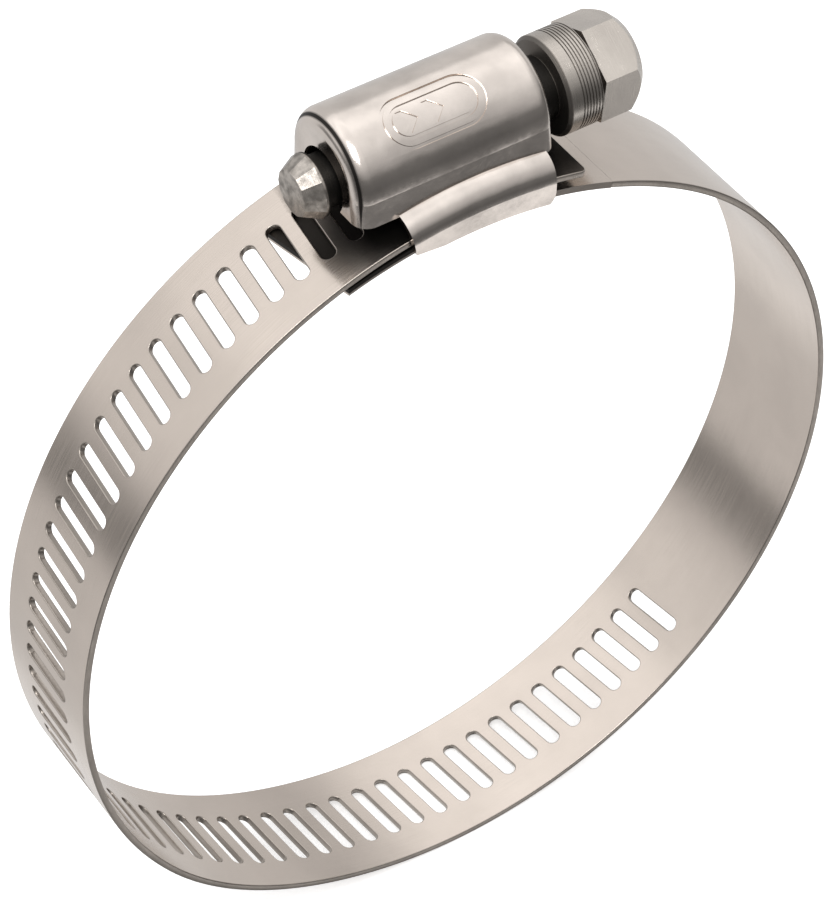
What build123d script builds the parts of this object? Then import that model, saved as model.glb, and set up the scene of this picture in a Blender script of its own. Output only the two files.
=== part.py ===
from build123d import *
import math
import os

# Worm-drive hose clamp, millimetres.
# Origin: centre of the round loop. +Y runs along the hose, +Z points up through
# the screw housing, +X runs along the screw towards its hex head.

# ---- strip -----------------------------------------------------------------
BAND_WIDTH = 12.7
BAND_T = 0.6
LOOP_R = 37.6                    # inner radius of the round part of the loop
PITCH = 2.62                     # slot pitch along the strip = lead of the worm
SLOT_LENGTH = 6.5
SLOT_WIDTH = 1.3
SLOT_SLANT = 6.6                 # degrees, the lead angle of the worm

# The tail end of the strip is one rigid arc. It slides round its own centre.
TAIL_OFFSET = 1.2
TAIL_OFFSET_ANGLE = 342.0
TAIL_X = TAIL_OFFSET * math.cos(math.radians(TAIL_OFFSET_ANGLE))
TAIL_Z = TAIL_OFFSET * math.sin(math.radians(TAIL_OFFSET_ANGLE))
TAIL_IN = 38.75                  # inner radius of the tail arc
TAIL_MID = TAIL_IN + BAND_T / 2
TAIL_STEP = math.degrees(PITCH / TAIL_MID)
TAIL_TIP = 74.9                  # angles of the arc about its own centre
SLOT_DATUM = 118.97
SLOTS_TO_TIP = 10
SLOTS_TO_LINKS = 24
TAIL_END = SLOT_DATUM + TAIL_STEP * (SLOTS_TO_LINKS + 0.5)
TIP_CORNER = 0.6

# The rest of the loop is a chain of links, six slots long each.
LINK_COUNT = 9
LEFT_LINKS = 4
LINK_SLOTS = 6
LOOSE_SLOTS = 25                 # slots on the links before the strip turns plain
LINK_GAP = 0.04
LOOP_STEP = math.degrees(PITCH / (LOOP_R + BAND_T / 2))
LINK_STEP = LINK_SLOTS * LOOP_STEP
SETTLE_SPAN = 42.0               # degrees over which the tail arc runs into the round
DIP_START = 42.0                 # the head side dips inwards from here to the housing
DIP_DEPTH = 0.30

# Head end of the strip, held under the saddle. Its end is cut at a slant.
HEAD_END_ANGLE = 112.0
HEAD_MID_ANGLE = 90.0
HEAD_END_R = 37.30
HEAD_MID_R = 37.30
HEAD_CUT_X = -12.36              # where the slanted cut crosses the strip's middle
HEAD_CUT_SLANT = 8.7
NOTCH_DEPTH = 0.65               # side notches that take the housing's tabs
NOTCH_CLEAR = 0.08

# The hose's axis lies a little under the origin, because only the head end dips.
HOSE_R = 37.505
HOSE_DROP = 0.186
HOSE_CLEAR = 0.05

# ---- screw -----------------------------------------------------------------
SCREW_Z = 42.1
THREAD_ROOT_R = 2.85
THREAD_MAJOR_R = 3.6
THREAD_BASE = 1.45
THREAD_CREST = 0.5
THREAD_X0, THREAD_X1 = -8.2, 8.0
THREAD_SINK = 0.05               # the thread is rooted this far into the core
TIP_R = 1.95
TIP_BASE_R = 2.75
TIP_X, TIP_TAPER_X, TIP_BASE_X = -12.5, -10.95, -10.6
TIP_FACETS = 13
TIP_NECK_R = 2.3
NECK_R = 2.75
COLLAR_R = 4.36
COLLAR_X0, COLLAR_X1 = 11.0, 14.5
HEX_AF = 7.94                    # 5/16 in across flats
HEX_X1 = 18.7
HEX_CORNER_ANGLE = 97.8
HEX_END_R = 3.4
HEX_CHAMFER = 1.2
DRIVER_SLOT_W, DRIVER_SLOT_D, DRIVER_SLOT_L = 1.2, 1.9, 6.4
SMALL_CHAMFER = 0.3
TURNING_X0, TURNING_X1 = 12.35, 14.1
TURNING_LINES = 7
TURNING_W, TURNING_D = 0.12, 0.07

# ---- housing ---------------------------------------------------------------
SHEET = 0.65
DOME_X0, DOME_X1 = -9.6, 8.9
DOME_R = 5.3
DOME_Z = 42.7
DOME_BOTTOM = 40.5
DOME_FLARE = 0.2                 # how much wider each wall stands at the bottom
DOME_FILLET_TIP, DOME_FILLET_HEAD = 1.45, 1.2
TIP_HOLE_R = 2.9
NECK_HOLE_R = 2.85
WING_Y = 7.2
WING_T = 0.6
WING_BEND_R = 2.2
WING_BEND_TOP = 41.7             # radius about the tail arc's centre
WING_OUTLINE = [(-6.4, 42.6), (-5.55, 37.5), (7.65, 36.3), (7.9, 42.6)]
WING_CORNER = 1.4
TAB_X0, TAB_X1 = -1.5, 5.5

# Generic stamp on the dome: a rounded outline with two chevrons.
STAMP_X = -1.0
STAMP_ANGLE = 122.0              # from +Y round the dome
STAMP_LENGTH, STAMP_HEIGHT = 9.4, 4.5
STAMP_LINE = 0.28
STAMP_DEPTH = 0.12
STAMP_INSET = 0.75
CHEVRON_X = (-1.5, 0.9)
CHEVRON_HALF = 1.0
CHEVRON_LINE = 0.45

# ---- saddle ----------------------------------------------------------------
SADDLE_X0, SADDLE_X1 = -5.3, 7.7
SADDLE_WIDTH = 12.4
SADDLE_CLEAR = 0.05

TAIL_CENTRE = (TAIL_X, TAIL_Z)
LOOP_CENTRE = (0.0, 0.0)


def polar(centre, radius, angle):
    """Point of the XZ plane at an angle measured from +X towards +Z."""
    a = math.radians(angle)
    return Vector(centre[0] + radius * math.cos(a), 0, centre[1] + radius * math.sin(a))


def tail_end_on_loop():
    """Angle and middle radius of the tail's far end, about the loop's centre."""
    p = polar(TAIL_CENTRE, TAIL_MID, TAIL_END)
    return math.degrees(math.atan2(p.Z, p.X)) % 360, math.hypot(p.X, p.Z)


LINKS_START, LINKS_START_R = tail_end_on_loop()
HEAD_JOINT_ANGLE = LINKS_START + LINK_COUNT * LINK_STEP - 360


def loop_radius(angle):
    """Inner radius of the loose part of the strip. The angle runs on past 360."""
    extra = LINKS_START_R - LOOP_R - BAND_T / 2
    slope = -TAIL_OFFSET * math.sin(math.radians(LINKS_START - TAIL_OFFSET_ANGLE))
    u = (angle - LINKS_START) / SETTLE_SPAN
    if u < 1:
        stay = 2 * u**3 - 3 * u**2 + 1
        lean = u**3 - 2 * u**2 + u
        return LOOP_R + stay * extra + lean * slope * math.radians(SETTLE_SPAN)
    v = (angle - 360 - DIP_START) / (HEAD_JOINT_ANGLE - DIP_START)
    if v > 0:
        return LOOP_R - DIP_DEPTH * (3 * v**2 - 2 * v**3)
    return LOOP_R


def strip(inner):
    """Strip of the band's section over an arc given by three inner points and centres."""
    inner_points = [polar(c, r, a) for c, r, a in inner]
    outer_points = [polar(c, r + BAND_T, a) for c, r, a in inner]
    edges = [
        ThreePointArc(*inner_points),
        Line(inner_points[2], outer_points[2]),
        ThreePointArc(outer_points[2], outer_points[1], outer_points[0]),
        Line(outer_points[0], inner_points[0]),
    ]
    return extrude(make_face(edges), amount=BAND_WIDTH / 2, dir=(0, 1, 0), both=True)


def slot_cutter(centre, radius, angle):
    """One slanted slot through the strip, round-ended, leaning with the worm."""
    plane = Plane(
        origin=polar(centre, radius, angle),
        x_dir=(0, 1, 0),
        z_dir=polar(LOOP_CENTRE, 1, angle),
    )
    outline = plane * SlotOverall(SLOT_LENGTH, SLOT_WIDTH, rotation=-SLOT_SLANT)
    return extrude(outline, amount=BAND_T, both=True)


def make_tail():
    middle = (TAIL_TIP + TAIL_END) / 2
    end = TAIL_END - math.degrees(LINK_GAP / 2 / TAIL_MID)
    tail = strip([(TAIL_CENTRE, TAIL_IN, a) for a in (TAIL_TIP, middle, end)])
    tip_edges = tail.edges().filter_by(lambda e: e.center().X > 10 and e.length < 2 * BAND_T)
    tail = fillet(tip_edges.filter_by(lambda e: abs(e.center().Y) > BAND_WIDTH / 2 - 0.1), TIP_CORNER)
    for k in range(-SLOTS_TO_TIP, SLOTS_TO_LINKS + 1):
        tail -= slot_cutter(TAIL_CENTRE, TAIL_MID, SLOT_DATUM + k * TAIL_STEP)
    return tail


def make_link(index):
    """Link number index, counted from the tail's far end round to the head end."""
    half_gap = math.degrees(LINK_GAP / 2 / LOOP_R)
    start = LINKS_START + index * LINK_STEP
    ends = (start + half_gap, start + LINK_STEP / 2, start + LINK_STEP - half_gap)
    link = strip([(LOOP_CENTRE, loop_radius(a), a) for a in ends])
    for k in range(LINK_SLOTS):
        if index * LINK_SLOTS + k < LOOSE_SLOTS:
            angle = start + (k + 0.5) * LOOP_STEP
            link -= slot_cutter(LOOP_CENTRE, loop_radius(angle) + BAND_T / 2, angle)
    return link


def head_arc():
    """Inner surface of the head end: centre and radius of the arc through three points."""
    half_gap = math.degrees(LINK_GAP / 2 / LOOP_R)
    return [
        (LOOP_CENTRE, LOOP_R - DIP_DEPTH, HEAD_JOINT_ANGLE + half_gap),
        (LOOP_CENTRE, HEAD_MID_R, HEAD_MID_ANGLE),
        (LOOP_CENTRE, HEAD_END_R, HEAD_END_ANGLE),
    ]


def cylinder_y(centre, radius, width):
    """Round bar along Y through a point of the XZ plane."""
    bar = Cylinder(radius, width, rotation=(90, 0, 0))
    return bar.moved(Location((centre[0], 0, centre[1])))


def box_between(x0, x1, y0, y1, z0, z1):
    block = Box(x1 - x0, y1 - y0, z1 - z0)
    return block.moved(Location(((x0 + x1) / 2, (y0 + y1) / 2, (z0 + z1) / 2)))


def head_cylinder(extra, width):
    """Round bar that shares the head end's inner surface, grown by extra."""
    points = [polar(*p) for p in head_arc()]
    arc = ThreePointArc(*points)
    centre = arc.arc_center
    return cylinder_y((centre.X, centre.Z), arc.radius + extra, width)


def make_head():
    """Head end: slanted cut at its free end and a notch in each long edge."""
    head = strip(head_arc())
    cutter = box_between(-20, 0, -BAND_WIDTH, BAND_WIDTH, 30, 45).rotate(Axis.Z, HEAD_CUT_SLANT)
    head -= cutter.moved(Location((HEAD_CUT_X, 0, 0)))
    for side in (-1, 1):
        y0, y1 = sorted((side * (BAND_WIDTH / 2 - NOTCH_DEPTH), side * BAND_WIDTH))
        head -= box_between(TAB_X0 - NOTCH_CLEAR, TAB_X1 + NOTCH_CLEAR, y0, y1, 30, 45)
    return head


def make_saddle():
    """Curved wedge that carries the tail over the head end, under the worm."""
    block = box_between(SADDLE_X0, SADDLE_X1, -SADDLE_WIDTH / 2, SADDLE_WIDTH / 2, 30, 45)
    block &= cylinder_y(TAIL_CENTRE, TAIL_IN - SADDLE_CLEAR, BAND_WIDTH)
    return block - head_cylinder(BAND_T, 2 * BAND_WIDTH)


def x_cylinder(radius, x0, x1):
    bar = Cylinder(radius, x1 - x0, rotation=(0, 90, 0))
    return bar.moved(Location(((x0 + x1) / 2, 0, SCREW_Z)))


def x_cone(r0, r1, x0, x1):
    """Cone along the screw axis, r0 at x0 and r1 at x1."""
    cone = Cone(r0, r1, x1 - x0, rotation=(0, 90, 0))
    return cone.moved(Location(((x0 + x1) / 2, 0, SCREW_Z)))


def mesh_x():
    """Where a slot stands under the screw axis, so that the thread enters it."""
    angle = SLOT_DATUM - 8 * TAIL_STEP
    return polar(TAIL_CENTRE, TAIL_MID, angle).X


def make_thread():
    """Right-handed worm thread whose crest points down at mesh_x()."""
    start = mesh_x() - 4 * PITCH
    helix = Helix(pitch=PITCH, height=THREAD_X1 - start, radius=THREAD_ROOT_R - THREAD_SINK)
    depth = THREAD_MAJOR_R - THREAD_ROOT_R + THREAD_SINK
    corners = [
        (0, -THREAD_BASE / 2),
        (depth, -THREAD_CREST / 2),
        (depth, THREAD_CREST / 2),
        (0, THREAD_BASE / 2),
    ]
    section_plane = Plane(origin=helix @ 0, x_dir=(1, 0, 0), z_dir=helix % 0)
    section = section_plane * make_face(Polyline(*corners, close=True))
    thread = sweep(section, path=helix, is_frenet=True)
    seat = Plane(origin=(start, 0, SCREW_Z), x_dir=(0, 0, -1), z_dir=(1, 0, 0))
    return seat * thread


def facet_ring(x, radius, facets):
    """Regular polygon across the screw axis at x."""
    plane = Plane(origin=(x, 0, SCREW_Z), x_dir=(0, 1, 0), z_dir=(1, 0, 0))
    return plane * RegularPolygon(radius, facets)


def make_tip():
    """Blunt end of the worm: a faceted taper, a short land and a neck in the housing's hole."""
    grow = 1 / math.cos(math.pi / TIP_FACETS)
    taper = loft([
        facet_ring(TIP_X, TIP_R * grow, TIP_FACETS),
        facet_ring(TIP_TAPER_X, TIP_BASE_R * grow, TIP_FACETS),
    ])
    taper &= x_cone(TIP_R + 0.08, TIP_BASE_R + 0.08, TIP_X, TIP_TAPER_X)
    land = x_cylinder(TIP_BASE_R, TIP_TAPER_X, TIP_BASE_X)
    return taper + land + x_cylinder(TIP_NECK_R, TIP_BASE_X, THREAD_X0)


def make_collar():
    """Collar with fine turning lines round its second half."""
    collar = x_cylinder(COLLAR_R, COLLAR_X0, COLLAR_X1)
    collar = chamfer(collar.edges().filter_by(GeomType.CIRCLE), SMALL_CHAMFER)
    step = (TURNING_X1 - TURNING_X0) / (TURNING_LINES - 1)
    for k in range(TURNING_LINES):
        x0 = TURNING_X0 + k * step - TURNING_W / 2
        ring = x_cylinder(COLLAR_R + 1, x0, x0 + TURNING_W)
        collar -= ring - x_cylinder(COLLAR_R - TURNING_D, x0, x0 + TURNING_W)
    return collar


def make_screw():
    """One piece: hex head with a driver slot, collar, neck, worm and tapered tip."""
    worm = x_cylinder(THREAD_ROOT_R, THREAD_X0, THREAD_X1) + make_thread()
    worm &= x_cylinder(THREAD_MAJOR_R + 1, THREAD_X0, THREAD_X1)
    tip = make_tip()
    neck = x_cylinder(NECK_R, THREAD_X1, COLLAR_X0)
    collar = make_collar()
    hex_plane = Plane(origin=(COLLAR_X1, 0, SCREW_Z), x_dir=(0, 1, 0), z_dir=(1, 0, 0))
    hexagon = RegularPolygon(HEX_AF / 2, 6, major_radius=False, rotation=HEX_CORNER_ANGLE)
    head = extrude(hex_plane * hexagon, amount=HEX_X1 - COLLAR_X1)
    head &= x_cylinder(HEX_AF, COLLAR_X1, HEX_X1 - HEX_CHAMFER) + x_cone(
        HEX_END_R + HEX_CHAMFER, HEX_END_R, HEX_X1 - HEX_CHAMFER, HEX_X1
    )
    head -= box_between(
        HEX_X1 - DRIVER_SLOT_D, HEX_X1 + 1, -DRIVER_SLOT_W / 2, DRIVER_SLOT_W / 2,
        SCREW_Z - DRIVER_SLOT_L / 2, SCREW_Z + DRIVER_SLOT_L / 2,
    )
    return tip + worm + neck + collar + head


def arch(radius, bottom, x0, x1):
    """Solid with an arched section: slightly flared sides up to DOME_Z and a half round."""
    plane = Plane(origin=(x0, 0, 0), x_dir=(0, 1, 0), z_dir=(1, 0, 0))
    foot = radius + DOME_FLARE * (DOME_Z - bottom) / (DOME_Z - DOME_BOTTOM)
    outline = [
        Line((-foot, bottom), (-radius, DOME_Z)),
        ThreePointArc((-radius, DOME_Z), (0, DOME_Z + radius), (radius, DOME_Z)),
        Line((radius, DOME_Z), (foot, bottom)),
        Line((foot, bottom), (-foot, bottom)),
    ]
    return extrude(plane * make_face(outline), amount=x1 - x0)


def end_edges(solid, x):
    """Edges of the arch's end at x, without the straight bottom one."""
    at_end = solid.edges().filter_by(lambda e: abs(e.center().X - x) < 0.01)
    return at_end.filter_by(lambda e: e.center().Z > DOME_BOTTOM + 0.1)


def make_dome():
    outer = arch(DOME_R, DOME_BOTTOM, DOME_X0, DOME_X1)
    outer = fillet(end_edges(outer, DOME_X0), DOME_FILLET_TIP)
    outer = fillet(end_edges(outer, DOME_X1), DOME_FILLET_HEAD)
    inner = arch(DOME_R - SHEET, DOME_BOTTOM - 1, DOME_X0 + SHEET, DOME_X1 - SHEET)
    dome = outer - inner
    dome -= x_cylinder(TIP_HOLE_R, DOME_X0 - 1, DOME_X0 + 1)
    dome -= x_cylinder(NECK_HOLE_R, DOME_X1 - 1, DOME_X1 + 1)
    return dome


def wing_section(side):
    """Section of one wing through the tail arc's centre: a shoulder bent down to a plate."""
    bend_z = WING_BEND_TOP - WING_BEND_R
    bend_y = WING_Y - WING_BEND_R
    inner_r = WING_BEND_R - WING_T
    low = bend_z - 4
    diagonal = math.sqrt(0.5)
    corners = [
        (bend_y, bend_z + WING_BEND_R),
        (bend_y + WING_BEND_R * diagonal, bend_z + WING_BEND_R * diagonal),
        (WING_Y, bend_z),
        (WING_Y, low),
        (WING_Y - WING_T, low),
        (WING_Y - WING_T, bend_z),
        (bend_y + inner_r * diagonal, bend_z + inner_r * diagonal),
        (bend_y, bend_z + inner_r),
    ]
    points = [Vector(TAIL_X, side * y, TAIL_Z + z) for y, z in corners]
    edges = [
        ThreePointArc(points[0], points[1], points[2]),
        Line(points[2], points[3]),
        Line(points[3], points[4]),
        Line(points[4], points[5]),
        ThreePointArc(points[5], points[6], points[7]),
        Line(points[7], points[0]),
    ]
    return make_face(edges)


def make_wing(side):
    axis = Axis((TAIL_X, 0, TAIL_Z), (0, 1, 0))
    swept = revolve(wing_section(side), axis, 24)
    swept = swept.rotate(axis, -12)
    corners = [Vector(x, 0, z) for x, z in WING_OUTLINE]
    outline = make_face(Polyline(*corners, close=True))
    trim = extrude(outline, amount=2 * WING_Y, dir=(0, 1, 0), both=True)
    low_right = trim.edges().filter_by(Axis.Y).sort_by(lambda e: e.center().Z - e.center().X)[0]
    hose = cylinder_y((0, -HOSE_DROP), HOSE_R + HOSE_CLEAR, 4 * WING_Y)
    return (swept & fillet(low_right, WING_CORNER)) - hose


def make_tab(side):
    """Turned-in edge of a wing that fills the head end's side notch."""
    inner = side * (BAND_WIDTH / 2 - NOTCH_DEPTH + NOTCH_CLEAR)
    y0, y1 = sorted((inner, side * (WING_Y - WING_T / 2)))
    block = box_between(TAB_X0, TAB_X1, y0, y1, 30, 40)
    block &= head_cylinder(BAND_T, 3 * BAND_WIDTH)
    return block - head_cylinder(0, 3 * BAND_WIDTH)


def chevron(x):
    """Thick angle bracket pointing along +X, with its tip at x."""
    h, t = CHEVRON_HALF, CHEVRON_LINE * math.sqrt(2)
    corners = [(x, 0), (x - h, h), (x - h - t, h), (x - t, 0), (x - h - t, -h), (x - h, -h)]
    return make_face(Polyline(*corners, close=True))


def make_stamp():
    """Shallow stamped lines on the dome's near side, cut to a constant depth."""
    a = math.radians(STAMP_ANGLE)
    normal = Vector(0, math.cos(a), math.sin(a))
    plane = Plane(origin=Vector(STAMP_X, 0, DOME_Z) + normal * DOME_R, x_dir=(1, 0, 0), z_dir=normal)
    lines = SlotOverall(STAMP_LENGTH, STAMP_HEIGHT)
    lines -= SlotOverall(STAMP_LENGTH - 2 * STAMP_LINE, STAMP_HEIGHT - 2 * STAMP_LINE)
    inner = (STAMP_LENGTH - 2 * STAMP_INSET, STAMP_HEIGHT - 2 * STAMP_INSET)
    lines += SlotOverall(*inner) - SlotOverall(inner[0] - 2 * STAMP_LINE, inner[1] - 2 * STAMP_LINE)
    for x in CHEVRON_X:
        lines += chevron(x)
    cutter = extrude(plane * lines, amount=DOME_R / 2, both=True)
    skin = arch(DOME_R + 1, DOME_BOTTOM, DOME_X0, DOME_X1)
    skin -= arch(DOME_R - STAMP_DEPTH, DOME_BOTTOM, DOME_X0, DOME_X1)
    return cutter & skin


def make_housing():
    housing = make_dome()
    for side in (-1, 1):
        housing += make_wing(side)
        housing += make_tab(side)
    return housing - make_stamp()


def save(name, shape):
    export_step(shape, f"parts/{name}.step")


os.makedirs("parts", exist_ok=True)
save("housing", make_housing())
save("saddle", make_saddle())
save("band_head", make_head())
save("band_tail", make_tail())
save("screw", make_screw())
for i in range(LINK_COUNT):
    if i < LEFT_LINKS:
        save(f"band_left_{i + 1:02d}", make_link(i))
    else:
        save(f"band_right_{LINK_COUNT - i:02d}", make_link(i))
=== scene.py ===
import bpy
import bmesh
import math
from mathutils import Matrix, Vector
from mathutils.geometry import delaunay_2d_cdt


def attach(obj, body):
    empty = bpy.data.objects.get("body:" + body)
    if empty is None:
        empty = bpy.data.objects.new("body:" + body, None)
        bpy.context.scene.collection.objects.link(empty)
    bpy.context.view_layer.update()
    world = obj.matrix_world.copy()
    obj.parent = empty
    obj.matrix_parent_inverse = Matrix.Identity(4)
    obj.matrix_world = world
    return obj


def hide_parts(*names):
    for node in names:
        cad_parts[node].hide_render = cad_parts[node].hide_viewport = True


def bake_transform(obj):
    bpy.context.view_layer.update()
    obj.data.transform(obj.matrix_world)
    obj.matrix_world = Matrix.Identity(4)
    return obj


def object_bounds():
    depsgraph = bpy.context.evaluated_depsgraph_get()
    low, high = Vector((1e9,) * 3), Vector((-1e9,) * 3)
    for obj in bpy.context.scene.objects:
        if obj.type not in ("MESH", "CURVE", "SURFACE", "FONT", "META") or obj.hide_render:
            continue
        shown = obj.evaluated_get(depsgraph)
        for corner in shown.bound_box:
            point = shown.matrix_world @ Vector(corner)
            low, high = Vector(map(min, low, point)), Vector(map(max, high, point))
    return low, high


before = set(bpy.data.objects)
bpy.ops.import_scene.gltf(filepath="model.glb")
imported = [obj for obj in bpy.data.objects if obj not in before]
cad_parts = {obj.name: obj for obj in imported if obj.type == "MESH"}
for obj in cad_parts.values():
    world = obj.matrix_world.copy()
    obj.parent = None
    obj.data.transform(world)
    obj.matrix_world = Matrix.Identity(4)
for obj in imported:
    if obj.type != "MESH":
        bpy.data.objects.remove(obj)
CAD_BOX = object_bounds()
MM = 0.001

# ---- sizes of the strip, as in the CAD source (millimetres and degrees) --------
BAND_WIDTH = 12.7
BAND_T = 0.6
LOOP_R = 37.6
PITCH = 2.62
SLOT_LENGTH, SLOT_WIDTH, SLOT_SLANT = 6.5, 1.3, 6.6
TAIL_OFFSET, TAIL_OFFSET_ANGLE = 1.2, 342.0
TAIL_IN = 38.75
TAIL_TIP = 74.9
SLOT_DATUM = 118.97
SLOTS_TO_TIP, SLOTS_TO_LINKS = 10, 24
TIP_CORNER = 0.6
LINK_SLOTS = 6                    # slot pitches in each rigid link
LINKS = 9
LEFT_LINKS = 4
LOOSE_SLOTS = 25                  # slots past the first link's start
SETTLE_SPAN = 42.0                # from the tail's arc to the round loop
DIP_START, DIP_DEPTH = 42.0, 0.30

HALF_LINK = LINK_SLOTS // 2
RIGHT_LINKS = LINKS - LEFT_LINKS

TAIL_X = TAIL_OFFSET * math.cos(math.radians(TAIL_OFFSET_ANGLE))
TAIL_Z = TAIL_OFFSET * math.sin(math.radians(TAIL_OFFSET_ANGLE))
TAIL_MID = TAIL_IN + BAND_T / 2
LOOP_MID = LOOP_R + BAND_T / 2
TAIL_STEP = math.degrees(PITCH / TAIL_MID)
LOOP_STEP = math.degrees(PITCH / LOOP_MID)
TAIL_END = SLOT_DATUM + TAIL_STEP * (SLOTS_TO_LINKS + 0.5)
TIP_LENGTH = math.radians(SLOT_DATUM - TAIL_STEP * (SLOTS_TO_TIP + 0.5) - TAIL_TIP) * TAIL_MID


def circle_point(cx, cz, r, angle):
    a = math.radians(angle)
    return Vector((cx + r * math.cos(a), cz + r * math.sin(a)))


TAIL_FAR = circle_point(TAIL_X, TAIL_Z, TAIL_MID, TAIL_END)
LINKS_START = math.degrees(math.atan2(TAIL_FAR.y, TAIL_FAR.x)) % 360
LINKS_START_R = TAIL_FAR.length
HEAD_JOINT = LINKS_START + LINKS * LINK_SLOTS * LOOP_STEP - 360


def loop_radius(angle):
    """Inner radius of the loose part of the strip, as in the CAD source."""
    extra = LINKS_START_R - LOOP_MID
    slope = -TAIL_OFFSET * math.sin(math.radians(LINKS_START - TAIL_OFFSET_ANGLE))
    u = (angle - LINKS_START) / SETTLE_SPAN
    if u < 1:
        stay = 2 * u**3 - 3 * u**2 + 1
        lean = u**3 - 2 * u**2 + u
        return LOOP_R + stay * extra + lean * slope * math.radians(SETTLE_SPAN)
    v = (angle - 360 - DIP_START) / (HEAD_JOINT - DIP_START)
    if v > 0:
        return LOOP_R - DIP_DEPTH * (3 * v**2 - 2 * v**3)
    return LOOP_R


# Distances along the strip are counted in millimetres from the first link's start.
SLOPE_STEP = 0.05                 # degrees either way when the strip's slope is measured
S_TIP = -(SLOTS_TO_TIP + SLOTS_TO_LINKS + 1) * PITCH - TIP_LENGTH


def spine(s):
    """Inner surface of the strip at distance s: point and outward normal in XZ."""
    if s <= 0:
        a = TAIL_END + math.degrees(s / TAIL_MID)
        n = circle_point(0, 0, 1, a)
        return Vector((TAIL_X, TAIL_Z)) + n * TAIL_IN, n
    a = LINKS_START + math.degrees(s / LOOP_MID)
    before, p, after = (
        circle_point(0, 0, loop_radius(a + turn), a + turn) for turn in (-SLOPE_STEP, 0, SLOPE_STEP)
    )
    t = after - before
    return p, Vector((t.y, -t.x)).normalized()


def place(s, y, n):
    """A point of the unrolled strip in the row frame, in metres."""
    p, normal = spine(s)
    p = p + normal * n
    return Vector((p.x, y, p.y)) * MM


# ---- the strip's mesh --------------------------------------------------------
EDGE = 0.09                       # rounding of every sheared edge
EDGE_ANGLES = (0, 0.52, 1.05, math.pi / 2)
RIM = [(EDGE * (1 - math.sin(a)), BAND_T - EDGE * (1 - math.cos(a))) for a in EDGE_ANGLES]
RIM += [(d, BAND_T - n) for d, n in reversed(RIM)]
CELL_COLUMNS = 6
ROWS = 22
GRID_CLEAR = 0.16                 # grid points keep this far from a slot's edge
SLOT_SIDE_STEPS, SLOT_END_STEPS = 8, 11
TIP_COLUMNS, TIP_ROWS, TIP_CORNER_STEPS = 3, 14, 8
TIP_GRID = (0.5, 1.0, 1.5, 1.9)
MERGE = 1e-6                      # points closer than this are one
TOP, SIDE, BOTTOM, CAP = range(4)


class Sheet:
    """Collects the faces of an unrolled sheet in (s, y, n) and turns them into a mesh."""

    def __init__(self):
        self.index = {}
        self.points = []
        self.faces = []
        self.kinds = []

    def vert(self, s, y, n):
        key = (round(s, 4), round(y, 4), round(n, 4))
        if key not in self.index:
            self.index[key] = len(self.points)
            self.points.append((s, y, n))
        return self.index[key]

    def face(self, corners, kind):
        ids = [self.vert(*c) for c in corners]
        if len(set(ids)) == len(ids):
            self.faces.append(ids)
            self.kinds.append(kind)

    def surface(self, outline, holes, inner_points):
        """Top and bottom faces of a flat region in (s, y), with its holes left open."""
        loops = [outline] + holes
        points = [Vector(p) for loop in loops for p in loop] + [Vector(p) for p in inner_points]
        edges = []
        base = 0
        for loop in loops:
            edges += [(base + i, base + (i + 1) % len(loop)) for i in range(len(loop))]
            base += len(loop)
        out = delaunay_2d_cdt(points, edges, [], 0, MERGE)
        for tri in out[2]:
            corners = [out[0][i] for i in tri]
            middle = sum(corners, Vector((0, 0))) / 3
            if not inside(middle, outline) or any(inside(middle, h) for h in holes):
                continue
            a, b, c = corners
            if (b - a).cross(c - a) > 0:
                corners.reverse()
            self.face([(p.x, p.y, BAND_T) for p in corners], TOP)
            self.face([(p.x, p.y, 0.0) for p in reversed(corners)], BOTTOM)

    def rim(self, chain, closed):
        """Rounded sheared edge along a chain of (point, outward normal) in (s, y)."""
        count = len(chain) if closed else len(chain) - 1
        for i in range(count):
            (p, m), (q, o) = chain[i], chain[(i + 1) % len(chain)]
            for (d0, n0), (d1, n1) in zip(RIM, RIM[1:]):
                a, b = p - m * d0, q - o * d0
                c, d = q - o * d1, p - m * d1
                self.face([(a.x, a.y, n0), (b.x, b.y, n0), (c.x, c.y, n1), (d.x, d.y, n1)], SIDE)

    def cap(self, s, facing):
        """Closes the strip at s, towards +s (facing 1) or -s (facing -1)."""
        ring = [(s, y, n) for y, n in section()]
        self.face(ring if facing > 0 else ring[::-1], CAP)

    def build(self, name, material="band"):
        mesh = bpy.data.meshes.new(name)
        mesh.from_pydata([place(*p) for p in self.points], [], self.faces)
        obj = bpy.data.objects.new(name, mesh)
        bpy.context.scene.collection.objects.link(obj)
        uv = mesh.uv_layers.new(name="strip")
        for loop in mesh.loops:
            s, y, _ = self.points[loop.vertex_index]
            uv.data[loop.index].uv = (s * MM, y * MM)
        for poly, kind in zip(mesh.polygons, self.kinds):
            poly.use_smooth = True
            poly.material_index = 1 if kind in (SIDE, CAP) else 0
        bm = bmesh.new()
        bm.from_mesh(mesh)
        bm.faces.ensure_lookup_table()
        for e in bm.edges:
            kinds = {self.kinds[f.index] for f in e.link_faces}
            e.smooth = len(kinds) == 1
        bm.to_mesh(mesh)
        bm.free()
        mesh.materials.append(MATERIALS[material])
        mesh.materials.append(MATERIALS["band_edge"])
        return obj


def inside(p, loop):
    """True where p is inside a closed loop of points."""
    hit = False
    for a, b in zip(loop, loop[1:] + loop[:1]):
        a, b = Vector(a), Vector(b)
        if (a.y > p.y) != (b.y > p.y) and p.x < (b.x - a.x) * (p.y - a.y) / (b.y - a.y) + a.x:
            hit = not hit
    return hit


def row_heights():
    """The y of the surface's grid rows, the same for every cell."""
    half = BAND_WIDTH / 2 - EDGE
    return [-half + 2 * half * i / ROWS for i in range(ROWS + 1)]


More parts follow.
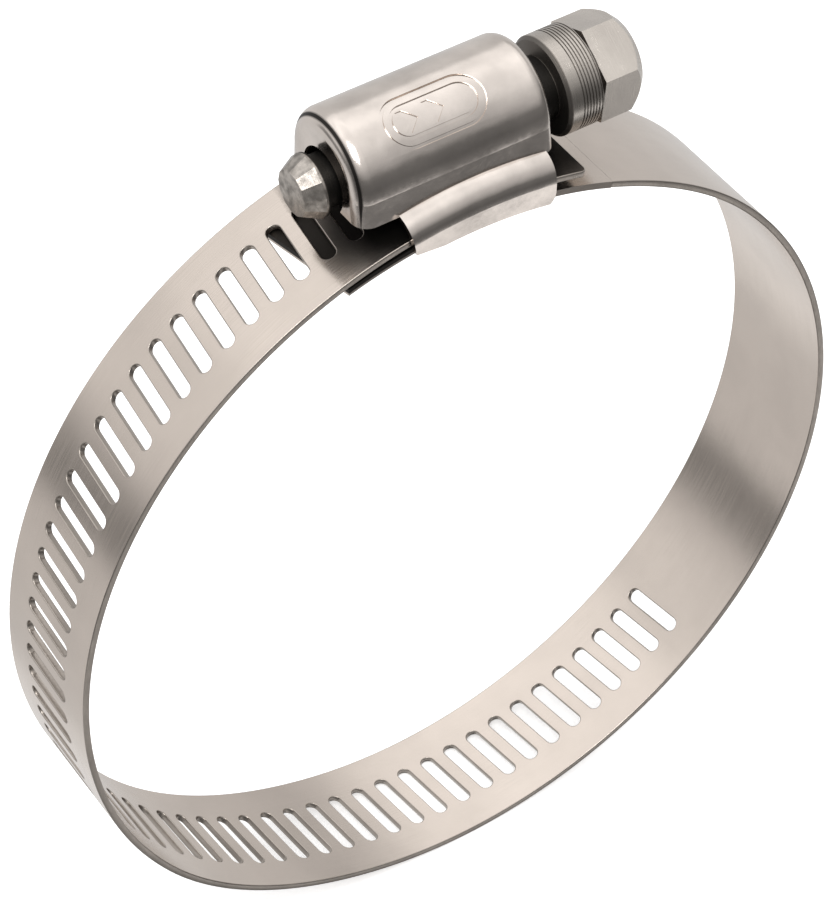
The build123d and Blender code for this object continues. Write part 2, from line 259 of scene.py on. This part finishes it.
def section():
    """Outline of the strip's cross-section as (y, n), matching the cells' end columns."""
    ring = [(y, BAND_T) for y in row_heights()]
    ring += [(BAND_WIDTH / 2 - d, n) for d, n in RIM[1:-1]]
    ring += [(y, 0.0) for y in reversed(row_heights())]
    ring += [(-(BAND_WIDTH / 2 - d), n) for d, n in reversed(RIM[1:-1])]
    return ring


def slot_chain(s):
    """The slot centred at s as a closed chain of (point, outward normal of the metal)."""
    along = Vector((-math.sin(math.radians(SLOT_SLANT)), math.cos(math.radians(SLOT_SLANT))))
    across = Vector((along.y, -along.x))
    r = SLOT_WIDTH / 2
    straight = SLOT_LENGTH / 2 - r
    chain = []
    for side in (1, -1):
        for k in range(SLOT_SIDE_STEPS):
            y = straight * side * (2 * k / SLOT_SIDE_STEPS - 1)
            chain.append((Vector((s, 0)) + along * y + across * (r * side), across * -side))
        for k in range(SLOT_END_STEPS):
            a = math.pi * k / SLOT_END_STEPS
            n = across * (math.cos(a) * side) + along * (math.sin(a) * side)
            chain.append((Vector((s, 0)) + along * (straight * side) + n * r, -n))
    return chain


def add_cell(sheet, s0, s1, slotted):
    """One stretch of the strip between two straight cuts, with or without a slot."""
    rows = row_heights()
    columns = [s0 + (s1 - s0) * i / CELL_COLUMNS for i in range(CELL_COLUMNS + 1)]
    low, high = rows[0], rows[-1]
    outline = [(s, low) for s in columns[:-1]] + [(s1, y) for y in rows[:-1]]
    outline += [(s, high) for s in columns[:0:-1]] + [(s0, y) for y in rows[:0:-1]]
    holes, keep_out = [], []
    if slotted:
        chain = slot_chain((s0 + s1) / 2)
        holes = [[tuple(p - m * EDGE) for p, m in chain]]
        keep_out = [tuple(p - m * (EDGE + GRID_CLEAR)) for p, m in chain]
        sheet.rim(chain, True)
    grid = [(s, y) for s in columns[1:-1] for y in rows[1:-1]]
    if slotted:
        grid = [p for p in grid if not inside(Vector(p), keep_out)]
    sheet.surface(outline, holes, grid)
    up, down = Vector((0, 1)), Vector((0, -1))
    sheet.rim([(Vector((s, BAND_WIDTH / 2)), up) for s in reversed(columns)], False)
    sheet.rim([(Vector((s, -BAND_WIDTH / 2)), down) for s in columns], False)


def add_tip(sheet):
    """The tail's free end, with rounded corners."""
    s0, s1 = S_TIP, S_TIP + TIP_LENGTH
    half = BAND_WIDTH / 2
    straight = s1 - s0 - TIP_CORNER
    columns = [s0 + TIP_CORNER + straight * i / TIP_COLUMNS for i in range(TIP_COLUMNS + 1)]
    chain = [(Vector((s, -half)), Vector((0, -1))) for s in columns[:0:-1]]
    for side in (-1, 1):
        for k in range(TIP_CORNER_STEPS + 1):
            a = math.radians(90) * k / TIP_CORNER_STEPS
            along, up = (math.sin(a), math.cos(a)) if side < 0 else (math.cos(a), math.sin(a))
            n = Vector((-along, up * side))
            centre = Vector((s0 + TIP_CORNER, side * (half - TIP_CORNER)))
            chain.append((centre + n * TIP_CORNER, n))
        if side < 0:
            span = half - TIP_CORNER
            for k in range(1, TIP_ROWS):
                chain.append((Vector((s0, -span + 2 * span * k / TIP_ROWS)), Vector((-1, 0))))
    chain += [(Vector((s, half)), Vector((0, 1))) for s in columns[1:]]
    chain.reverse()
    sheet.rim(chain, False)
    rows = row_heights()
    outline = [tuple(p - m * EDGE) for p, m in chain][1:-1]
    outline += [(s1, y) for y in rows]
    grid = [(s0 + d, y) for d in TIP_GRID for y in rows[2:-2]]
    sheet.surface(outline, [], grid)


def strip_piece(name, first, last, tip=False, material="band"):
    """The strip from step number first to last, one cell for each slot pitch."""
    sheet = Sheet()
    for k in range(first, last):
        add_cell(sheet, k * PITCH, (k + 1) * PITCH, k < LOOSE_SLOTS)
    if tip:
        add_tip(sheet)
    else:
        sheet.cap(first * PITCH, -1)
    sheet.cap(last * PITCH, 1)
    return sheet.build(name, material)


# ---- materials ---------------------------------------------------------------
MATERIALS = {}
SOFT_EDGE = 0.05                  # half the width of a painted shade mask's edge
BLOTCH_SCALE, WAVE_SCALE, TARNISH_SCALE, RAGGED_SCALE = 220.0, 260.0, 1400.0, 2500.0
GRAIN_DEPTH, WAVE_DEPTH = 0.00005, 0.0004
# Tone and extra roughness of the dark masks: mostly painted shade, with tarnish and dull edges in places.
SHADE_AND_WEAR_TONE, SHADE_AND_WEAR_ROUGHNESS = 0.05, 0.3


class Nodes:
    """Small helper that adds and links shader nodes."""

    def __init__(self, tree):
        self.tree = tree

    def add(self, kind, **inputs):
        node = self.tree.nodes.new("ShaderNode" + kind)
        for key, value in inputs.items():
            self.put(node.inputs[key.replace("_", " ")], value)
        return node

    def put(self, socket, value):
        if isinstance(value, bpy.types.NodeSocket):
            self.tree.links.new(value, socket)
        else:
            socket.default_value = value

    def math(self, operation, *values):
        node = self.tree.nodes.new("ShaderNodeMath")
        node.operation = operation
        for socket, value in zip(node.inputs, values):
            self.put(socket, value)
        return node.outputs[0]

    def length(self, a, b):
        """Length of the vector (a, b)."""
        return self.math("SQRT", self.math("ADD", self.math("POWER", a, 2.0), self.math("POWER", b, 2.0)))

    def below(self, value, limit):
        """One where the value is under the limit in millimetres, with a narrow soft edge."""
        return self.remap(value, (limit - SOFT_EDGE) * MM, (limit + SOFT_EDGE) * MM, 1.0, 0.0)

    def noise(self, where, scale, detail):
        node = self.add("TexNoise", Vector=where, Scale=scale, Detail=detail)
        return node.outputs["Fac"]

    def remap(self, value, low, high, to_low, to_high):
        node = self.add("MapRange")
        for socket, v in zip(node.inputs, (value, low, high, to_low, to_high)):
            self.put(socket, v)
        return node.outputs["Result"]

    def mix(self, factor, a, b):
        node = self.tree.nodes.new("ShaderNodeMix")
        node.data_type = "RGBA"
        for socket, v in zip((node.inputs[0], node.inputs[6], node.inputs[7]), (factor, a, b)):
            self.put(socket, v)
        return node.outputs[2]


def shade(colour, factor):
    return (*[min(1.0, c * factor) for c in colour], 1)


def steel(name, colour, rough, stretch, grain, blotch, uv=False, shade_and_wear=None, waves=0.0):
    """Metal with fine grain in its roughness and bump, slow blotches, and dark masks that are mostly
    painted shade.

    stretch scales the grain along each axis. The dark-mask argument is a function that adds nodes and
    returns a mask of what is painted dark: painted shade, with tarnish and dull edges in places. waves is
    the strength of the sheet's slow unevenness.
    """
    m = bpy.data.materials.new(name)
    m.use_nodes = True
    n = Nodes(m.node_tree)
    shader = m.node_tree.nodes["Principled BSDF"]
    shader.inputs["Metallic"].default_value = 1.0
    where = n.add("TexCoord")
    at = where.outputs["Object"]
    grain_at = n.add("Mapping", Vector=where.outputs["UV" if uv else "Object"], Scale=stretch)
    fine = n.noise(grain_at.outputs["Vector"], 1.0, 6.0)
    slow = n.noise(at, BLOTCH_SCALE, 4.0)
    roughness = n.remap(fine, 0.3, 0.7, rough * 0.8, rough * 1.25)
    blotches = n.remap(slow, 0.35, 0.65, 0.0, 1.0)
    tint = n.mix(blotches, shade(colour, 1 - blotch), shade(colour, 1 + blotch))
    # Painted shade, with tarnish and dull edges in places, darkens the tint here.
    if shade_and_wear:
        dark = shade_and_wear(n, at, where.outputs["UV"])
        tint = n.mix(dark, tint, shade(colour, SHADE_AND_WEAR_TONE))
        roughness = n.math("ADD", roughness, n.math("MULTIPLY", dark, SHADE_AND_WEAR_ROUGHNESS))
    n.put(shader.inputs["Base Color"], tint)
    n.put(shader.inputs["Roughness"], roughness)
    bump = n.add("Bump", Strength=grain, Distance=GRAIN_DEPTH, Height=fine)
    if waves:
        slow_waves = n.noise(at, WAVE_SCALE, 1.5)
        wavy = n.add("Bump", Strength=waves, Distance=WAVE_DEPTH, Height=slow_waves)
        n.put(bump.inputs["Normal"], wavy.outputs["Normal"])
    n.put(shader.inputs["Normal"], bump.outputs["Normal"])
    MATERIALS[name] = m


# Sizes as in the CAD source: the housing's arched shell, and the screw.
DOME_Z, DOME_R = 42.7, 5.3
DOME_X0, DOME_X1 = -9.6, 8.9
SCREW_Z, COLLAR_X1 = 42.1, 14.5
SKIN = 0.3                        # how far behind the outer face the painted shade inside begins
GROOVE_R = 4.33                   # between the collar's surface and its turning lines
# Painted shade on the worm and neck runs between these x; the tip beyond the first is tarnished.
SCREW_SHADE_X0, SCREW_SHADE_X1 = -10.75, 11.0
TAIL_SHADE_ANGLE = 108.3              # where the painted shade ends on the tail at rest
# The tail's painted shade fades, blurs and frays by these.
TAIL_SHADE_S = -math.radians(TAIL_END - TAIL_SHADE_ANGLE) * TAIL_MID
TAIL_SHADE_FADE, TAIL_SHADE_SOFT = 4, 0.2
TAIL_SHADE_RAGGED = 0.0004
HEAD_SHADE_X = -2                # painted shade on the head end's outer face on this side of it
DULL_EDGE_Y0, DULL_EDGE_Y1 = 6.31, 6.34
SHADE_REACH = 9.0                     # how far off a part still casts painted shade


def occlusion_shade(n):
    """Painted shade from ambient occlusion: one under the housing and the screw, falling to a faint shade
    where the strip is in the open.
    """
    occluded = n.add("AmbientOcclusion", Distance=SHADE_REACH * MM)
    return n.remap(occluded.outputs["AO"], 0.6, 0.93, 1.0, 0.12)


def dome_inside_shade(n, at, uv):
    """Mask of painted shade inside the arched shell."""
    part = n.add("SeparateXYZ", Vector=at).outputs
    rise = n.math("MAXIMUM", n.math("SUBTRACT", part["Z"], DOME_Z * MM), 0.0)
    reach = n.length(part["Y"], rise)
    middle, half = (DOME_X0 + DOME_X1) / 2, (DOME_X1 - DOME_X0) / 2
    along = n.math("ABSOLUTE", n.math("SUBTRACT", part["X"], middle * MM))
    return n.math("MULTIPLY", n.below(reach, DOME_R - SKIN), n.below(along, half - SKIN))


def screw_shade_and_tarnish(n, at, uv):
    """Mask of painted shade on the worm and neck, of tarnish on the tip, and of painted shade on the
    collar's inner face and grooves.
    """
    part = n.add("SeparateXYZ", Vector=at).outputs
    at_tip = n.below(part["X"], SCREW_SHADE_X0)
    tarnish = n.remap(n.noise(at, TARNISH_SCALE, 4.0), 0.35, 0.65, 0.2, 0.65)
    worm_shade_and_tarnish = n.math("MULTIPLY", n.below(part["X"], SCREW_SHADE_X1), n.mix(at_tip, (1, 1, 1, 1), tarnish))
    reach = n.length(part["Y"], n.math("SUBTRACT", part["Z"], SCREW_Z * MM))
    # Painted shade on the collar's inner face and in its grooves.
    groove_shade = n.math("MULTIPLY", n.below(reach, GROOVE_R), n.below(part["X"], COLLAR_X1))
    groove_shade = n.math("MULTIPLY", groove_shade, n.math("SUBTRACT", 0.75, n.math("MULTIPLY", at_tip, 0.75)))
    return n.math("MAXIMUM", worm_shade_and_tarnish, groove_shade)


def head_shade_and_dull_edges(n, at, uv):
    """Mask of painted shade on the head end's outer face under the worm, and of its dull edges."""
    part = n.add("SeparateXYZ", Vector=at).outputs
    outer = n.math("SUBTRACT", 1.0, n.below(n.length(part["X"], part["Z"]), LOOP_R - 0.1))
    # Painted shade where the head end lies under the tail and the housing.
    under_tail_shade = n.math("MULTIPLY", outer, n.below(part["X"], HEAD_SHADE_X))
    edge = n.remap(n.math("ABSOLUTE", part["Y"]), DULL_EDGE_Y0 * MM, DULL_EDGE_Y1 * MM, 0.0, 0.6)
    return n.math("MAXIMUM", under_tail_shade, edge)


def tail_painted_shade(n, at, uv):
    """Mask of painted shade on the tail under the housing and the screw, cut off along a slot."""
    part = n.add("SeparateXYZ", Vector=uv).outputs
    slant = n.math("MULTIPLY", part["Y"], math.tan(math.radians(SLOT_SLANT)))
    edge = n.math("MULTIPLY", n.math("SUBTRACT", n.noise(at, RAGGED_SCALE, 3.0), 0.5), TAIL_SHADE_RAGGED)
    s = n.math("ADD", n.math("ADD", part["X"], slant), edge)
    # Painted shade on the tail: full towards the tip, a little weaker just before the cut.
    shade_depth = n.remap(s, (TAIL_SHADE_S - TAIL_SHADE_FADE) * MM, TAIL_SHADE_S * MM, 1.0, 0.75)
    cut = n.remap(s, (TAIL_SHADE_S - TAIL_SHADE_SOFT) * MM, (TAIL_SHADE_S + TAIL_SHADE_SOFT) * MM, 1.0, 0.0)
    return n.math("MULTIPLY", n.math("MULTIPLY", shade_depth, cut), occlusion_shade(n))


BAND_COLOUR = (0.65, 0.575, 0.515)
ROLLED = (150, 9000, 9000)        # grain drawn out along the strip
EVEN = (2500, 2500, 2500)
steel("band", BAND_COLOUR, 0.2, ROLLED, 0.12, 0.03, uv=True)
steel("band_tail", BAND_COLOUR, 0.2, ROLLED, 0.12, 0.03, uv=True, shade_and_wear=tail_painted_shade)
steel("band_head", BAND_COLOUR, 0.2, ROLLED, 0.12, 0.03, shade_and_wear=head_shade_and_dull_edges)
steel("band_edge", (0.43, 0.385, 0.345), 0.34, (9000, 9000, 1500), 0.25, 0.1)
steel("housing", (0.70, 0.635, 0.585), 0.15, EVEN, 0.08, 0.12, shade_and_wear=dome_inside_shade, waves=0.28)
# The saddle's dark tone is painted shade: it lies under the band inside the housing.
steel("saddle", (0.20, 0.18, 0.16), 0.4, EVEN, 0.2, 0.2)
steel("screw", (0.60, 0.55, 0.50), 0.22, (26000, 300, 300), 0.35, 0.08, shade_and_wear=screw_shade_and_tarnish)
for node in ("housing", "saddle", "screw", "band_head"):
    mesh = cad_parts[node].data
    mesh.materials.clear()
    mesh.materials.append(MATERIALS[node])


# ---- strip pieces ------------------------------------------------------------
def bent_piece(name, step, last):
    """The strip over the joint at that step, up to step last."""
    piece = strip_piece(name, step - HALF_LINK, last)
    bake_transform(piece)
    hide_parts(name.replace("strip", "band"))


first = -(SLOTS_TO_TIP + SLOTS_TO_LINKS + 1)
tail = strip_piece("strip_tail", first, -HALF_LINK, tip=True, material="band_tail")
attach(tail, "tail")
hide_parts("band_tail")
for i in range(LEFT_LINKS):
    step = LINK_SLOTS * i
    bent_piece(f"strip_left_{i + 1:02d}", step, step + HALF_LINK)
seam = LINK_SLOTS * LEFT_LINKS
left_end = strip_piece("strip_left_end", seam - HALF_LINK, seam)
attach(left_end, f"left_{LEFT_LINKS}")
right_end = strip_piece("strip_right_end", seam, seam + HALF_LINK)
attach(right_end, f"right_{RIGHT_LINKS}")
for i in range(RIGHT_LINKS, 0, -1):
    step = LINK_SLOTS * (LINKS + 1 - i)
    last = step if i == 1 else step + HALF_LINK
    bent_piece(f"strip_right_{i:02d}", step, last)


# ---- floor, lights, camera ---------------------------------------------------
FLOOR_HALF = 3.0
FLOOR_GAP = 0.0002
FLOOR_COLOUR = (0.93, 0.93, 0.93, 1)
paint = bpy.data.materials.new("floor_paint")
paint.use_nodes = True
shader = paint.node_tree.nodes["Principled BSDF"]
shader.inputs["Base Color"].default_value = FLOOR_COLOUR
shader.inputs["Roughness"].default_value = 0.6
shader.inputs["Emission Color"].default_value = FLOOR_COLOUR
shader.inputs["Emission Strength"].default_value = 0.45
floor_z = CAD_BOX[0].z - FLOOR_GAP
corners = [(x * FLOOR_HALF, y * FLOOR_HALF, floor_z) for x, y in ((-1, -1), (1, -1), (1, 1), (-1, 1))]
floor_mesh = bpy.data.meshes.new("floor")
floor_mesh.from_pydata(corners, [], [(0, 1, 2, 3)])
floor_mesh.materials.append(paint)
floor = bpy.data.objects.new("floor", floor_mesh)
bpy.context.scene.collection.objects.link(floor)
floor.visible_glossy = False      # metal sees the studio's own floor tone instead

# Brightness of the studio by the sine of the elevation: a pale floor, soft walls and a
# light ceiling. The dark gap at the horizon is wide in front and absent on the right.
LEFT = [(-1, 1.0), (-0.82, 1.0), (-0.72, 0.72), (-0.5, 0.72), (-0.3, 0.74), (-0.2, 0.7),
        (-0.165, 0.27), (-0.08, 0.25), (0, 0.28), (0.05, 0.38), (0.14, 0.75), (0.3, 0.95),
        (0.5, 0.9), (0.64, 1.25), (0.8, 1.2), (0.9, 1.45), (1, 1.2)]
RIGHT = [(-1, 0.84), (-0.5, 0.75), (0, 0.72), (0.25, 0.7), (0.38, 0.58), (0.48, 0.64), (0.56, 0.85),
         (0.66, 1.15), (0.8, 1.2), (0.9, 1.45), (1, 1.2)]
FRONT = [(-1, 0.12), (-0.79, 0.16), (-0.73, 1.1), (-0.64, 1.1), (-0.59, 0.2), (-0.3, 0.13), (0.05, 0.18),
         (0.22, 0.4), (0.36, 0.55), (0.6, 0.75), (0.8, 1.1), (0.9, 1.2), (1, 1.1)]
BACK_WALL = (0.70, 0.70, 0.70, 1)
world = bpy.data.worlds.new("studio")
world.use_nodes = True
sky = Nodes(world.node_tree)
direction = sky.add("SeparateXYZ", Vector=sky.add("TexCoord").outputs["Generated"]).outputs
height = sky.remap(direction["Z"], -1.0, 1.0, 0.0, 1.0)


def tones(stops):
    """A grey ramp over the elevation, from (sine, brightness) stops."""
    ramp = sky.add("ValToRGB", Fac=height)
    colours = ramp.color_ramp.elements
    while len(colours) < len(stops):
        colours.new(0.5)
    for stop, (z, level) in zip(colours, stops):
        stop.position = (z + 1) / 2
        stop.color = (level, level, level, 1)
    return ramp.outputs["Color"]


to_right = sky.remap(direction["X"], -0.2, 0.3, 0.0, 1.0)
to_rear = sky.remap(direction["Y"], -0.15, 0.15, 0.0, 1.0)
studio = sky.mix(to_rear, tones(FRONT), sky.mix(to_right, tones(LEFT), tones(RIGHT)))
studio = sky.mix(sky.remap(direction["Y"], 0.66, 0.78, 0.0, 1.0), studio, BACK_WALL)
sky.put(world.node_tree.nodes["Background"].inputs["Color"], studio)
bpy.context.scene.world = world

KEY_AT = Vector((-0.25, -0.35, 0.6))
key_light = bpy.data.lights.new("key", "AREA")
key_light.shape = "RECTANGLE"
key_light.size = key_light.size_y = 0.35
key_light.energy = 2.2
key = bpy.data.objects.new("key", key_light)
key.location = KEY_AT
key.rotation_mode = "QUATERNION"
key.rotation_quaternion = (-KEY_AT).to_track_quat("-Z", "Y")
bpy.context.scene.collection.objects.link(key)

cam_data = bpy.data.cameras.new("camera")
cam = bpy.data.objects.new("camera", cam_data)
bpy.context.scene.collection.objects.link(cam)
bpy.context.scene.camera = cam
AZIMUTH, ELEVATION, ROLL, LEAN = (math.radians(a) for a in (-33.398, 44.047, 0.598, -1.3))
DISTANCE, SHIFT_X, SHIFT_Z = 320.7, -1.34, 4.99
level = Vector((math.sin(AZIMUTH), -math.cos(AZIMUTH), 0))
back = level * math.cos(ELEVATION) + Vector((0, 0, math.sin(ELEVATION)))
right = Vector((math.cos(AZIMUTH), math.sin(AZIMUTH), 0))
up = back.cross(right)
right, up = (
    right * math.cos(ROLL) + up * math.sin(ROLL),
    up * math.cos(ROLL) - right * math.sin(ROLL),
)


def lean(v):
    """Turns a direction back by the loop's small lean about +Y."""
    c, s = math.cos(LEAN), math.sin(LEAN)
    return Vector((c * v.x - s * v.z, v.y, s * v.x + c * v.z))


right, up, back = lean(right), lean(up), lean(back)
cam.location = (right * SHIFT_X + up * SHIFT_Z + back * DISTANCE) * MM
cam.rotation_mode = "QUATERNION"
cam_matrix = [[right[i], up[i], back[i]] for i in range(3)]
cam.rotation_quaternion = Matrix(cam_matrix).to_quaternion()
cam_data.sensor_width = 36
cam_data.lens = 146.74
cam_data.clip_start, cam_data.clip_end = 0.01, 20
bpy.context.scene.view_settings.view_transform = "Standard"
